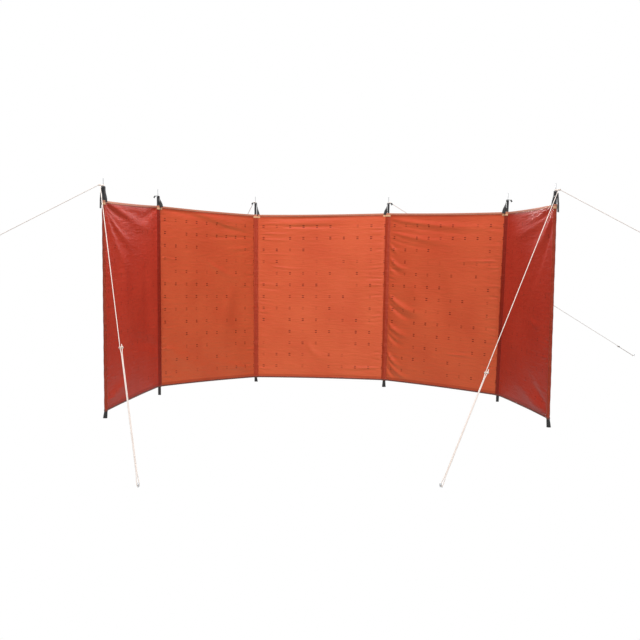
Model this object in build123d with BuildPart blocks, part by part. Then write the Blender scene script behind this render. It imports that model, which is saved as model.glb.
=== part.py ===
"""A beach windbreak: cloth bays on poles, stayed by guy ropes to ground pegs.

Millimetres, +Z up, ground at z = 0. The poles stand along an arc whose hollow side faces -Y.
+X runs from the first pole to the last, and the origin is under the middle of the whole part.
"""

from build123d import *
import math
import os

# Cloth
bay_width = 1000.0
cloth_height = 1250.0
cloth_thickness = 2.0
hem_clearance = 45.0
sleeve_reach = 20.0
sleeve_wall = 1.5
sleeve_clearance = 0.3

# The heading of each bay, in degrees from +X, from the first pole to the last
bay_headings = (83.1, 54.2, -9.9, -40.4, -80.7)

# How far the hem rides up on each pole, and how far each pole leans towards +X, in degrees
hem_lifts = (-4.6, 11.5, -11.6, 4.2, -2.8, 2.8)
pole_leans = (-0.63, -0.63, -0.63, 0.46, 1.51, 0.25)

# Poles
pole_above_hem = 75.0
pole_radius = 8.0
pole_wall = 1.0
spike_radius = 2.5
spike_length = 47.0
spike_tip_radius = 1.0
plug_length = 20.0
plug_clearance = 0.15
cap_height = 3.0
cap_edge_radius = 1.5

# Feet: the socket that the pole stands in, and the outline on the ground of each foot
foot_floor = 6.0
foot_wall = 1.8
foot_clearance = 0.2
foot_gap = 0.3
foot_base_radii = (13.0, 10.0, 13.0, 14.0, 10.0, 13.0)
foot_kicks = (-5.0, 0.0, 3.0, 0.0, 0.0, 5.0)

# Straps: webbing from the hem, over the pole's cap, to a tail on the outer side
strap_width = 25.0
strap_thickness = 2.0
strap_gap = 0.3
strap_side_gap = 1.5
strap_bend_radius = 5.0
strap_hem_offset = 18.0
strap_eyelet_clearance = 1.2
short_tail_reach = 18.0
short_tail_drop = 14.0
long_tail_below_hem = 45.0

# Guy ropes
rope_radius = 2.0
spike_loop_clearance = 0.4
spike_loop_gap = 0.2
rope_standoff = 24.0
rope_end_setback = 6.0
rope_bend_radius = 10.0
peg_loop_clearance = 0.3
rope_peg_height = 10.0
knot_radius = 3.6
knot_length = 8.0
runner_length = 24.0
runner_width = 10.0
runner_thickness = 4.0
runner_clearance = 0.3

# Pegs: a driven pin with a hook that opens away from the pole
peg_radius = 2.5
peg_rise = 14.0
peg_hook_radius = 6.0
peg_hook_drop = 8.0
peg_below = 60.0

# Each guy: name, pole, heading in degrees, run along the ground, runner's distance from the peg,
# heading of the loop's arms, and the hand on which the rope leaves the loop, 1 for the left
guys = (
    ("front_left", "pole_1", -71.5, 1812.0, 860.0, -111.5, -1),
    ("front_right", "pole_6", -115.3, 1755.0, 700.0, -75.3, 1),
    ("side_left", "pole_1", -170.0, 2600.0, 800.0, -170.0, 1),
    ("side_right", "pole_6", -10.0, 2600.0, 800.0, -10.0, 1),
    ("rear_left", "pole_3", 118.0, 2000.0, 600.0, 118.0, 1),
    ("rear_right", "pole_4", 45.4, 3637.0, 310.0, 45.4, 1),
)

pole_count = len(bay_headings) + 1
pole_length = hem_clearance + cloth_height + pole_above_hem - foot_floor
cap_top = foot_floor + pole_length + cap_height
strap_top = cap_top + strap_gap + strap_thickness
spike_loop_radius = spike_radius + spike_loop_clearance + rope_radius
loop_radius = peg_radius + peg_loop_clearance + rope_radius

pieces = {}


def keep(name, part):
    """Label a finished piece and put it with the others."""
    part.label = name
    pieces[name] = part


def polar(angle, distance):
    """The x and y of a point at an angle in degrees and a distance from the origin."""
    return distance * math.cos(math.radians(angle)), distance * math.sin(math.radians(angle))


def pole_bases():
    """The points on the ground where the poles stand, one bay after another."""
    points = [Vector(0, 0, 0)]
    for heading in bay_headings:
        points.append(points[-1] + Vector(*polar(heading, bay_width), 0))
    return points


def pole_planes():
    """A plane for each pole, with its origin on the ground and its normal up the leaning pole."""
    planes = []
    for base, lean in zip(pole_bases(), pole_leans):
        across, up = math.sin(math.radians(lean)), math.cos(math.radians(lean))
        planes.append(Plane(origin=base, x_dir=(up, 0, -across), z_dir=(across, 0, up)))
    return planes


planes = pole_planes()


def make_pole(index):
    """A steel tube that stands on the floor of its foot."""
    with BuildPart() as pole:
        with BuildSketch(planes[index].offset(foot_floor)):
            Circle(pole_radius)
            Circle(pole_radius - pole_wall, mode=Mode.SUBTRACT)
        extrude(amount=pole_length)
    keep(f"pole_{index + 1}", pole.part)


def make_spike(index):
    """The steel pin at the top of a pole, with a plug in the tube and a cap on its end."""
    shoulder = foot_floor + pole_length
    with BuildPart() as spike:
        with BuildSketch(planes[index].offset(shoulder - plug_length)):
            Circle(pole_radius - pole_wall - plug_clearance)
        extrude(amount=plug_length)
        with BuildSketch(planes[index].offset(shoulder)):
            Circle(pole_radius)
        extrude(amount=cap_height)
        fillet(spike.edges().sort_by(Axis.Z)[-1], cap_edge_radius)
        with BuildSketch(planes[index].offset(cap_top)):
            Circle(spike_radius)
        extrude(amount=spike_length)
        fillet(spike.edges().sort_by(Axis.Z)[-1], spike_tip_radius)
    keep(f"spike_{index + 1}", spike.part)


def make_foot(index):
    """A moulded foot with a socket for the pole, flared and kicked out at the ground."""
    top = hem_clearance + hem_lifts[index] - foot_gap
    socket_radius = pole_radius + foot_clearance
    base_centre = planes[index].origin + Vector(foot_kicks[index], 0, 0)
    with BuildPart() as foot:
        with BuildSketch(Plane(origin=base_centre)):
            Circle(foot_base_radii[index])
        with BuildSketch(planes[index].offset(top)):
            Circle(socket_radius + foot_wall)
        loft()
        with BuildSketch(planes[index].offset(foot_floor)):
            Circle(socket_radius)
        extrude(amount=top, mode=Mode.SUBTRACT)
    keep(f"foot_{index + 1}", foot.part)


def arm_headings(index):
    """The headings in which the cloth leaves a pole, towards its neighbours."""
    headings = []
    if index > 0:
        headings.append(bay_headings[index - 1] + 180)
    if index < pole_count - 1:
        headings.append(bay_headings[index])
    return headings


def make_sleeve(index):
    """The sewn pocket that the pole runs through, narrowing to the cloth on each side."""
    bore = pole_radius + sleeve_clearance
    outside = bore + sleeve_wall
    with BuildPart() as sleeve:
        with BuildSketch(planes[index].offset(hem_clearance + hem_lifts[index])):
            Circle(outside)
            for heading in arm_headings(index):
                side = Vector(*polar(heading + 90, 1), 0)
                end = Vector(*polar(heading, sleeve_reach), 0)
                corners = (
                    side * outside,
                    side * -outside,
                    end - side * (cloth_thickness / 2),
                    end + side * (cloth_thickness / 2),
                )
                Polygon(*[(corner.X, corner.Y) for corner in corners], align=None)
            Circle(bore, mode=Mode.SUBTRACT)
        extrude(amount=cloth_height)
    keep(f"sleeve_{index + 1}", sleeve.part)


def cloth_edge(index, heading):
    """The plane of the cloth's edge beside a pole, with the pole's own direction as its x."""
    pole = planes[index]
    middle = hem_clearance + hem_lifts[index] + cloth_height / 2
    local_edge = (*polar(heading, sleeve_reach), middle)
    bay_direction = Plane.XY.from_local_coords(Vector(*polar(heading, 1), 0))
    tilted = pole.from_local_coords(bay_direction) - pole.origin
    return Plane(origin=pole.from_local_coords(local_edge), x_dir=pole.z_dir, z_dir=tilted)


def make_panel(index):
    """The cloth of one bay, stretched from the sleeve of one pole to that of the next."""
    heading = bay_headings[index]
    far_edge = cloth_edge(index + 1, heading + 180)
    far_edge = Plane(origin=far_edge.origin, x_dir=far_edge.x_dir, z_dir=-far_edge.z_dir)
    with BuildPart() as panel:
        for edge in (cloth_edge(index, heading), far_edge):
            with BuildSketch(edge):
                Rectangle(cloth_height, cloth_thickness)
        loft(ruled=True)
    keep(f"panel_{index + 1}", panel.part)


def make_strap(index):
    """Webbing that rises from the hem, crosses the cap with an eyelet and ends in a tail."""
    inward = 1 if index < pole_count / 2 else -1
    is_end = index in (0, pole_count - 1)
    hem_top = hem_clearance + hem_lifts[index] + cloth_height
    middle = strap_top - strap_thickness / 2
    shoulder = pole_radius + strap_side_gap + strap_thickness / 2
    if is_end:
        outer = shoulder + sleeve_wall + strap_thickness
        tail = (-inward * outer, hem_top - long_tail_below_hem)
    else:
        tail = (-inward * (shoulder + short_tail_reach), middle - short_tail_drop)
    profile = [
        (inward * strap_hem_offset, hem_top + strap_gap),
        (inward * shoulder, middle - 2 * strap_bend_radius),
        (inward * shoulder, middle),
        (-inward * shoulder, middle),
        tail,
    ]
    pole = planes[index]
    side_plane = Plane(origin=pole.origin, x_dir=pole.x_dir, z_dir=-pole.y_dir)
    with BuildPart() as strap:
        with BuildSketch(side_plane):
            with BuildLine():
                FilletPolyline(*profile, radius=strap_bend_radius * 0.9)
            trace(line_width=strap_thickness)
        extrude(amount=strap_width / 2, both=True)
        with BuildSketch(pole.offset(cap_top)):
            Circle(spike_radius + strap_eyelet_clearance)
        extrude(amount=strap_top - cap_top + strap_gap, mode=Mode.SUBTRACT)
    keep(f"strap_{index + 1}", strap.part)


def ropes_below(name, pole_name):
    """How many loops lie on the pole's spike under this rope's own."""
    same_pole = [guy[0] for guy in guys if guy[1] == pole_name]
    return same_pole.index(name)


def guy_frame(name, pole_name, heading, run, loop_heading, hand):
    """The rope's level plane at the spike, and its sloping plane at the peg.

    The first has its x along the loop's arms, away from the pole. The second has its x up the
    rope and its y to the left of the rope's heading, and it starts at the peg's near strand.
    """
    pole = planes[int(pole_name.split("_")[1]) - 1]
    level_height = strap_top + spike_loop_gap + rope_radius
    level_height += ropes_below(name, pole_name) * (2 * rope_radius + spike_loop_gap)
    arms = Vector(*polar(loop_heading, 1), 0)
    at_spike = Plane(origin=pole.from_local_coords((0, 0, level_height)), x_dir=arms)
    knot = at_spike.from_local_coords((rope_standoff, hand * spike_loop_radius))
    at_peg = Vector(pole.origin.X, pole.origin.Y, rope_peg_height) + Vector(*polar(heading, run), 0)
    up_rope = (knot - at_peg).normalized()
    leftward = Vector(*polar(heading + 90, 1), 0)
    at_peg_plane = Plane(origin=at_peg, x_dir=up_rope, z_dir=up_rope.cross(leftward))
    return at_spike, at_peg_plane


def make_rope(name, pole_name, heading, run, runner_distance, loop_heading, hand):
    """A stay: hooked round the spike, down through the runner, round the peg and back up."""
    at_spike, at_peg = guy_frame(name, pole_name, heading, run, loop_heading, hand)
    arm = hand * spike_loop_radius
    end = at_spike.from_local_coords((rope_standoff - rope_end_setback, -arm))
    spike_near = at_spike.from_local_coords((0, -arm))
    spike_behind = at_spike.from_local_coords((-spike_loop_radius, 0))
    spike_far = at_spike.from_local_coords((0, arm))
    knot = at_spike.from_local_coords((rope_standoff, arm))
    peg_behind = at_peg.from_local_coords((-loop_radius, loop_radius, 0))
    peg_far = at_peg.from_local_coords((0, 2 * loop_radius, 0))
    knot_start = runner_distance + runner_thickness / 2 + runner_clearance
    knot_foot = at_peg.from_local_coords((knot_start, 2 * loop_radius, 0))
    with BuildPart() as rope:
        with BuildLine() as path:
            Line(end, spike_near)
            ThreePointArc(spike_near, spike_behind, spike_far)
            FilletPolyline(spike_far, knot, at_peg.origin, radius=rope_bend_radius)
            ThreePointArc(at_peg.origin, peg_behind, peg_far)
            Line(peg_far, knot_foot)
        with BuildSketch(Plane(origin=end, z_dir=-at_spike.x_dir)):
            Circle(rope_radius)
        sweep(path=path.line)
        with BuildSketch(Plane(origin=knot_foot, z_dir=at_peg.x_dir)):
            Circle(knot_radius)
        extrude(amount=knot_length)
    keep(f"rope_{name}", rope.part)


def make_runner(name, pole_name, heading, run, runner_distance, loop_heading, hand):
    """The slide that sets the rope's length, with a hole for each strand."""
    at_peg = guy_frame(name, pole_name, heading, run, loop_heading, hand)[1]
    centre = at_peg.from_local_coords((runner_distance, loop_radius, 0))
    plate = Plane(origin=centre, x_dir=at_peg.y_dir, z_dir=at_peg.x_dir)
    with BuildPart() as runner:
        with BuildSketch(plate):
            SlotOverall(runner_length, runner_width)
            with Locations((-loop_radius, 0), (loop_radius, 0)):
                Circle(rope_radius + runner_clearance, mode=Mode.SUBTRACT)
        extrude(amount=runner_thickness / 2, both=True)
    keep(f"runner_{name}", runner.part)


def make_peg(name, pole_name, heading, run, runner_distance, loop_heading, hand):
    """The part of a driven peg that stands above the ground, square to its rope."""
    at_peg = guy_frame(name, pole_name, heading, run, loop_heading, hand)[1]
    centre = at_peg.from_local_coords((0, loop_radius, 0))
    side = Plane(origin=centre, x_dir=-at_peg.x_dir, z_dir=-at_peg.y_dir)
    foot_point = side.from_local_coords((0, -peg_below))
    hook_start = side.from_local_coords((0, peg_rise))
    hook_top = side.from_local_coords((peg_hook_radius, peg_rise + peg_hook_radius))
    hook_end = side.from_local_coords((2 * peg_hook_radius, peg_rise))
    hook_tip = side.from_local_coords((2 * peg_hook_radius, peg_rise - peg_hook_drop))
    with BuildPart() as peg:
        with BuildLine() as path:
            Line(foot_point, hook_start)
            ThreePointArc(hook_start, hook_top, hook_end)
            Line(hook_end, hook_tip)
        with BuildSketch(Plane(origin=foot_point, z_dir=side.y_dir)):
            Circle(peg_radius)
        sweep(path=path.line)
        split(bisect_by=Plane.XY, keep=Keep.TOP)
    keep(f"peg_{name}", peg.part)


for number in range(pole_count):
    make_pole(number)
    make_spike(number)
    make_foot(number)
    make_sleeve(number)
    make_strap(number)
for number in range(len(bay_headings)):
    make_panel(number)
for guy in guys:
    make_rope(*guy)
    make_runner(*guy)
    make_peg(*guy)

# The origin goes under the middle of the box around all the pieces
boxes = [part.bounding_box() for part in pieces.values()]
middle_x = (min(box.min.X for box in boxes) + max(box.max.X for box in boxes)) / 2
middle_y = (min(box.min.Y for box in boxes) + max(box.max.Y for box in boxes)) / 2
to_origin = Location((-middle_x, -middle_y, 0))

os.makedirs("parts", exist_ok=True)
for name, part in pieces.items():
    placed = part.moved(to_origin)
    placed.label = name
    export_step(placed, f"parts/{name}.step")
print("origin moved by", to_origin.position)
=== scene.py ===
"""Looks of the beach windbreak: cloth bays on poles, straps, guy ropes and pegs.

Metres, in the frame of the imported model, whose nodes give the poles' places and heights.
"""

import math

import bpy
import numpy as np
from mathutils import Matrix, Vector


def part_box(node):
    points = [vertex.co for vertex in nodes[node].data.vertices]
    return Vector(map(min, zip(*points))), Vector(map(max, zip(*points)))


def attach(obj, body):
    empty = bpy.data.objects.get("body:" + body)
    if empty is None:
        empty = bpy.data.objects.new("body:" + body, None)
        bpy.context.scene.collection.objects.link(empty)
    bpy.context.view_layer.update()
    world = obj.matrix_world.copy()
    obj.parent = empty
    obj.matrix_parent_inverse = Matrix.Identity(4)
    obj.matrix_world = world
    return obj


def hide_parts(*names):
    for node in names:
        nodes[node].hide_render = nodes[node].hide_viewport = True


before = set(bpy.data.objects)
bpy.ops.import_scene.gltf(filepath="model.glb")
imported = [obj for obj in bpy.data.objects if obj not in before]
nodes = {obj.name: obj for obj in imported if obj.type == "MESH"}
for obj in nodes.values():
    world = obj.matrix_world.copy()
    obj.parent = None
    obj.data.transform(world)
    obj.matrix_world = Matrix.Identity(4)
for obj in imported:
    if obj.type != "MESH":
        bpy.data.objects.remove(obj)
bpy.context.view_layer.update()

POLES = 6
BAYS = POLES - 1
UP = Vector((0, 0, 1))

# Camera, for a picture of 640 by 640 pixels
PICTURE = 640
FOCAL_PIXELS = 1000
SENSOR = 36.0
CAMERA_PLACE = (0.2021, -7.1053, 1.0055)
CAMERA_YAW = 2.346
CAMERA_PITCH = 3.891
CAMERA_ROLL = 0.7725

# Cloth
CLOTH_HEIGHT = 1.25
SLEEVE_REACH = 0.020
HEM_WIDTH = 0.015
LOW_HEM_WIDTH = 0.010
HEM_PROUD = 0.0009
COLUMNS = 120
ROWS = 330

# Tape at the hems and cream tape below the straps
BAND_PROUD = 0.0020
PATCH_PROUD = 0.0026
PATCH_HEIGHT = 0.012
PATCH_DROP = 0.013
TAB_WIDTH = 0.017
TAB_PROUD = 0.0021
TAB_BACK = 0.0006
TAB_COLUMNS = 8

# Straps, ropes and pegs, as the solids have them
STRAP_WIDTH = 0.025
STRAP_THICKNESS = 0.0018
CAP_HEIGHT = 0.003
SPIKE_RADIUS = 0.0025
ROPE_RADIUS = 0.002
PEG_RADIUS = 0.0025
SPIKE_LOOP_GAP = 0.0004
PEG_LOOP_GAP = 0.0003
LOOP_STACK_GAP = 0.0002
ROPE_STANDOFF = 0.024
ROPE_PEG_HEIGHT = 0.010

# Each guy: name, pole, heading in degrees, run, runner's distance from the peg, heading of the
# loop's arms, hand on which the rope leaves the loop, and how many loops lie under its own
GUYS = (
    ("front_left", 1, -71.5, 1.812, 0.860, -111.5, -1, 0),
    ("front_right", 6, -115.3, 1.755, 0.700, -75.3, 1, 0),
    ("side_left", 1, -170.0, 2.600, 0.800, -170.0, 1, 1),
    ("side_right", 6, -10.0, 2.600, 0.800, -10.0, 1, 1),
    ("rear_left", 3, 118.0, 2.000, 0.600, 118.0, 1, 0),
    ("rear_right", 4, 45.4, 3.637, 0.310, 45.4, 1, 0),
)


def srgb(red, green, blue):
    """A linear colour from the eight-bit values of a screen."""
    def linear(value):
        value /= 255
        return value / 12.92 if value <= 0.04045 else ((value + 0.055) / 1.055) ** 2.4
    return (linear(red), linear(green), linear(blue), 1.0)


def rise(low, high, value):
    """0 below low, 1 above high, and a smooth rise between, for numbers or arrays."""
    share = np.clip((value - low) / (high - low), 0, 1)
    return share * share * (3 - 2 * share)


# Shader helpers

def new_material(name):
    material = bpy.data.materials.new(name)
    material.use_nodes = True
    tree = material.node_tree
    return material, tree, tree.nodes["Principled BSDF"]


def plug(tree, value, socket):
    """A link if value is a socket, or else the socket's own value."""
    if isinstance(value, bpy.types.NodeSocket):
        tree.links.new(value, socket)
    else:
        socket.default_value = value


def set_shader(tree, shader, **values):
    for key, value in values.items():
        plug(tree, value, shader.inputs[key.replace("_", " ")])


def calc(tree, operation, *values, clamped=False):
    node = tree.nodes.new("ShaderNodeMath")
    node.operation = operation
    node.use_clamp = clamped
    for socket, value in zip(node.inputs, values):
        plug(tree, value, socket)
    return node.outputs[0]


def blend(tree, factor, first, second):
    node = tree.nodes.new("ShaderNodeMix")
    node.data_type = "RGBA"
    plug(tree, factor, node.inputs[0])
    plug(tree, first, node.inputs[6])
    plug(tree, second, node.inputs[7])
    return node.outputs[2]


def cut_uv(tree):
    """The cut's own coordinates in metres, whole and as across and up."""
    uv = tree.nodes.new("ShaderNodeUVMap")
    uv.uv_map = "cut"
    split = tree.nodes.new("ShaderNodeSeparateXYZ")
    tree.links.new(uv.outputs[0], split.inputs[0])
    return uv.outputs[0], split.outputs[0], split.outputs[1]


def object_coordinates(tree):
    return tree.nodes.new("ShaderNodeTexCoord").outputs["Object"]


def noise(tree, vector, scale, detail, stretch=(1, 1, 1)):
    mapping = tree.nodes.new("ShaderNodeMapping")
    set_shader(tree, mapping, Vector=vector, Scale=stretch)
    texture = tree.nodes.new("ShaderNodeTexNoise")
    set_shader(tree, texture, Vector=mapping.outputs[0], Scale=scale, Detail=detail)
    return texture.outputs["Fac"]


def bump(tree, shader, height, strength, distance, under=None):
    """Bumps from a height, on top of the normal that is given as under."""
    node = tree.nodes.new("ShaderNodeBump")
    set_shader(tree, node, Strength=strength, Distance=distance, Height=height)
    if under:
        tree.links.new(under, node.inputs["Normal"])
    tree.links.new(node.outputs[0], shader.inputs["Normal"])
    return node.outputs[0]


def show_both(tree, factor, first, second, output):
    """Two shaders mixed by a factor into the surface of that output node."""
    both = tree.nodes.new("ShaderNodeMixShader")
    for socket, value in zip(both.inputs, (factor, first.outputs[0], second.outputs[0])):
        plug(tree, value, socket)
    tree.links.new(both.outputs[0], tree.nodes[output].inputs["Surface"])


def threads(tree, across, up, pitch, share):
    """Lines both ways at a pitch, each as wide as that share of the pitch: 1 on a line, else 0."""
    lines = None
    for socket in (across, up):
        beside = calc(tree, "PINGPONG", socket, pitch / 2)
        line = calc(tree, "LESS_THAN", beside, pitch * share / 2)
        lines = line if lines is None else calc(tree, "MAXIMUM", lines, line)
    return lines


def wave(tree, socket, pitch):
    """A sine of a coordinate that repeats at a pitch."""
    return calc(tree, "SINE", calc(tree, "MULTIPLY", socket, 2 * math.pi / pitch))


def weave(tree, across, up, pitch):
    """Over and under of a plain weave, from -1 to 1."""
    return calc(tree, "MULTIPLY", wave(tree, across, pitch), wave(tree, up, pitch))


CLOTH = srgb(194, 44, 28)
CLOTH_DEEP = srgb(170, 32, 20)
CLOTH_PALE = srgb(214, 92, 64)
CLOTH_DARK = srgb(112, 20, 6)
THROUGH = srgb(222, 138, 84)
THROUGH_DEEP = srgb(202, 102, 60)
# Painted shade: deeper, redder colours for the light through the two end bays, which face sideways and
# get less light from behind
END_SHADED_THROUGH = srgb(226, 98, 72)
END_SHADED_THROUGH_DEEP = srgb(204, 71, 50)
SLEEVE = srgb(170, 62, 34)
SLEEVE_DEEP = srgb(136, 30, 12)
MARK = srgb(84, 14, 6)

# The ripstop's threads, with the share of the pitch that each takes, and the plain weave
RIPSTOP_PITCH = 0.005
RIPSTOP_SHARE = 0.14
WEAVE_PITCH = 0.0007

# The woven marks: pitch and start of their rows across and up, and a dash's half length and half
# height with its distance from the middle of its pair
MARK_PITCH = (0.102, 0.089)
MARK_START = (0.043, 0.092)
DASH_HALF_LENGTH = 0.0075
DASH_HALF_HEIGHT = 0.003
DASH_OFFSET = 0.0065

# The doubled cloth along the top and bottom edges
SEAM_ALLOWANCE = 0.027

# How far the cloth's colour is drawn to another one
SEAM_DARKER = 0.34
RIPSTOP_DARKER = 0.15
MOTTLED_DEEPER = 0.55
STREAKS_PALER = 0.9

# Webbing and rope
RIB_PITCH = 0.0022
TWILL_PITCH = 0.0013
BRAID_PITCH = 0.0075
STRAND_PITCH = 0.0026


def woven_marks(tree, across, up):
    """Rows of small double dashes, some of them faint or missing: their strength, 0 to 1."""
    cells, beside = [], []
    for socket, pitch, start in zip((across, up), MARK_PITCH, MARK_START):
        place = calc(tree, "ADD", calc(tree, "MULTIPLY", socket, 1 / pitch), 0.5 - start / pitch)
        cells.append(calc(tree, "FLOOR", place))
        centred = calc(tree, "SUBTRACT", calc(tree, "FRACT", place), 0.5)
        beside.append(calc(tree, "ABSOLUTE", calc(tree, "MULTIPLY", centred, pitch)))
    in_width = calc(tree, "LESS_THAN", beside[0], DASH_HALF_LENGTH)
    off_dash = calc(tree, "ABSOLUTE", calc(tree, "SUBTRACT", beside[1], DASH_OFFSET))
    in_height = calc(tree, "LESS_THAN", off_dash, DASH_HALF_HEIGHT)
    dashes = calc(tree, "MULTIPLY", in_width, in_height)
    cell = tree.nodes.new("ShaderNodeCombineXYZ")
    tree.links.new(cells[0], cell.inputs[0])
    tree.links.new(cells[1], cell.inputs[1])
    chance = tree.nodes.new("ShaderNodeTexWhiteNoise")
    tree.links.new(cell.outputs[0], chance.inputs["Vector"])
    strength = calc(tree, "MULTIPLY_ADD", chance.outputs["Value"], 1.5, -0.25, clamped=True)
    return calc(tree, "MULTIPLY", dashes, strength)


def cloth_material(name, fronts=(CLOTH, CLOTH_DEEP), through=(THROUGH, THROUGH_DEEP), marked=0.9,
                   see_through=0.4):
    """Thin coated ripstop cloth that light from behind shows through, marked that strongly."""
    material, tree, shader = new_material(name)
    uv, across, up = cut_uv(tree)
    clouds = noise(tree, uv, scale=3.2, detail=5.0)
    mottled = calc(tree, "MULTIPLY_ADD", clouds, 2.2, -0.6, clamped=True)
    drawn = noise(tree, uv, scale=1.0, detail=3.0, stretch=(5.0, 240.0, 1.0))
    slubs = calc(tree, "SUBTRACT", drawn, 0.5)
    streaks = calc(tree, "MULTIPLY", slubs, STREAKS_PALER, clamped=True)
    grid = threads(tree, across, up, RIPSTOP_PITCH, RIPSTOP_SHARE)
    darker = calc(tree, "MULTIPLY", grid, RIPSTOP_DARKER)
    if marked:
        from_edge = calc(tree, "PINGPONG", up, CLOTH_HEIGHT / 2)
        in_seam = calc(tree, "LESS_THAN", from_edge, SEAM_ALLOWANCE)
        darker = calc(tree, "MAXIMUM", darker, calc(tree, "MULTIPLY", in_seam, SEAM_DARKER))
        marks = calc(tree, "MULTIPLY", woven_marks(tree, across, up), marked)
    colours = []
    for light, deep in (fronts, through):
        colour = blend(tree, calc(tree, "MULTIPLY", mottled, MOTTLED_DEEPER), light, deep)
        colour = blend(tree, streaks, colour, CLOTH_PALE)
        colour = blend(tree, darker, colour, CLOTH_DARK)
        if marked:
            colour = blend(tree, marks, colour, MARK)
        colours.append(colour)
    set_shader(tree, shader, Base_Color=colours[0], Roughness=0.48, Specular_IOR_Level=0.3)
    creases = noise(tree, uv, scale=1.0, detail=2.0, stretch=(6.0, 30.0, 1.0))
    ridges = calc(tree, "ABSOLUTE", calc(tree, "SUBTRACT", creases, 0.5))
    wrinkled = bump(tree, shader, ridges, strength=0.3, distance=0.02)
    height = calc(tree, "MULTIPLY_ADD", weave(tree, across, up, WEAVE_PITCH), 0.12, grid)
    height = calc(tree, "MULTIPLY_ADD", slubs, 2.0, height)
    normal = bump(tree, shader, height, strength=0.35, distance=0.0004, under=wrinkled)

    glow = tree.nodes.new("ShaderNodeBsdfTranslucent")
    set_shader(tree, glow, Color=colours[1], Normal=normal)
    show_both(tree, see_through, shader, glow, "Material Output")
    return material


def webbing_material(name, base, pale):
    """Ribbed webbing: warp ribs along it and a fine herringbone across."""
    material, tree, shader = new_material(name)
    uv, across, along = cut_uv(tree)
    rib = wave(tree, across, RIB_PITCH)
    slant = calc(tree, "ADD", along, calc(tree, "PINGPONG", across, RIB_PITCH))
    height = calc(tree, "MULTIPLY_ADD", wave(tree, slant, TWILL_PITCH), 0.5, rib)
    fuzz = noise(tree, uv, scale=900.0, detail=2.0)
    lit = calc(tree, "MULTIPLY_ADD", height, 0.12, calc(tree, "MULTIPLY", fuzz, 0.4), clamped=True)
    set_shader(tree, shader, Base_Color=blend(tree, lit, base, pale), Roughness=0.72,
               Sheen_Weight=0.08, Sheen_Roughness=0.5)
    bump(tree, shader, height, strength=0.6, distance=0.0003)
    return material


def rope_material(name, base, shade):
    """Braided cord: strands that cross both ways round it, in the cut's metres."""
    material, tree, shader = new_material(name)
    uv, around, along = cut_uv(tree)
    strands = []
    for hand in (1, -1):
        slant = calc(tree, "MULTIPLY_ADD", along, hand * 2 * math.pi / BRAID_PITCH,
                     calc(tree, "MULTIPLY", around, 2 * math.pi / STRAND_PITCH))
        strands.append(calc(tree, "SINE", slant))
    braid = calc(tree, "MAXIMUM", *strands)
    soiled = calc(tree, "MULTIPLY", noise(tree, uv, scale=30.0, detail=4.0), 0.7)
    shaded = calc(tree, "MULTIPLY_ADD", braid, -0.35, soiled, clamped=True)
    set_shader(tree, shader, Base_Color=blend(tree, shaded, base, shade), Roughness=0.68,
               Sheen_Weight=0.2, Sheen_Roughness=0.5)
    bump(tree, shader, braid, strength=0.7, distance=0.0004)
    return material


def plastic_material(name, colour, worn, grain=420.0, roughness=0.5):
    """Moulded plastic with a fine grain and scuffs."""
    material, tree, shader = new_material(name)
    place = object_coordinates(tree)
    scuffs = noise(tree, place, scale=60.0, detail=6.0)
    scuffed = calc(tree, "MULTIPLY", calc(tree, "SUBTRACT", scuffs, 0.5), 1.6, clamped=True)
    rough = calc(tree, "MULTIPLY_ADD", scuffs, 0.3, roughness - 0.15)
    set_shader(tree, shader, Base_Color=blend(tree, scuffed, colour, worn), Roughness=rough,
               Specular_IOR_Level=0.4)
    bump(tree, shader, noise(tree, place, grain, detail=2.0), strength=0.35, distance=0.0003)
    return material


def metal_material(name, colour, roughness, streak=(1, 1, 0.02)):
    """Metal with drawn streaks along its length and slight tarnish."""
    material, tree, shader = new_material(name)
    place = object_coordinates(tree)
    streaks = noise(tree, place, scale=900.0, detail=3.0, stretch=streak)
    tarnish = noise(tree, place, scale=25.0, detail=5.0)
    darker = tuple(0.6 * channel for channel in colour[:3]) + (1.0,)
    worn = calc(tree, "MULTIPLY", tarnish, 0.5)
    rough = calc(tree, "MULTIPLY_ADD", streaks, 0.2, roughness - 0.1)
    set_shader(tree, shader, Base_Color=blend(tree, worn, colour, darker), Roughness=rough, Metallic=1.0)
    bump(tree, shader, streaks, strength=0.15, distance=0.0002)
    return material


bay_cloth = cloth_material("bay_cloth")
# The end bays' cloth: the same cloth with painted shade in the colours of the light through it, and
# fainter marks
shaded_end_bay_cloth = cloth_material("shaded_end_bay_cloth", through=(END_SHADED_THROUGH, END_SHADED_THROUGH_DEEP), marked=0.5)
sleeve_cloth = cloth_material("sleeve_cloth", (SLEEVE, SLEEVE_DEEP), marked=0, see_through=0.15)
# The same sleeve cloth in darker colours: painted shade for the sleeves where the pole blocks the light
# from behind
shaded_sleeve_cloth = cloth_material("shaded_sleeve_cloth", (SLEEVE_DEEP, CLOTH_DARK), marked=0,
                                   see_through=0.15)
hem_tape = webbing_material("hem_tape", srgb(164, 98, 72), srgb(196, 134, 106))
low_hem_tape = webbing_material("low_hem_tape", srgb(92, 40, 26), srgb(126, 62, 44))
thread = plastic_material("thread", srgb(120, 36, 22), srgb(150, 60, 40), 900.0, 0.6)
black_webbing = webbing_material("black_webbing", srgb(7, 7, 8), srgb(28, 28, 30))
cream_webbing = webbing_material("cream_webbing", srgb(192, 146, 106), srgb(216, 176, 138))
white_rope = rope_material("white_rope", srgb(242, 230, 222), srgb(206, 192, 182))
white_plastic = plastic_material("white_plastic", srgb(232, 214, 200), srgb(196, 180, 166))
black_plastic = plastic_material("black_plastic", srgb(9, 9, 10), srgb(36, 35, 34))
coated_steel = plastic_material("coated_steel", srgb(34, 34, 36), srgb(60, 60, 62), 700.0, 0.38)
bright_steel = metal_material("bright_steel", srgb(196, 198, 200), 0.34)
eyelet_metal = metal_material("eyelet_metal", srgb(176, 176, 174), 0.3, streak=(1, 1, 1))


# Mesh helpers

def add_object(name, data):
    thing = bpy.data.objects.new(name, data)
    bpy.context.scene.collection.objects.link(thing)
    return thing


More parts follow.
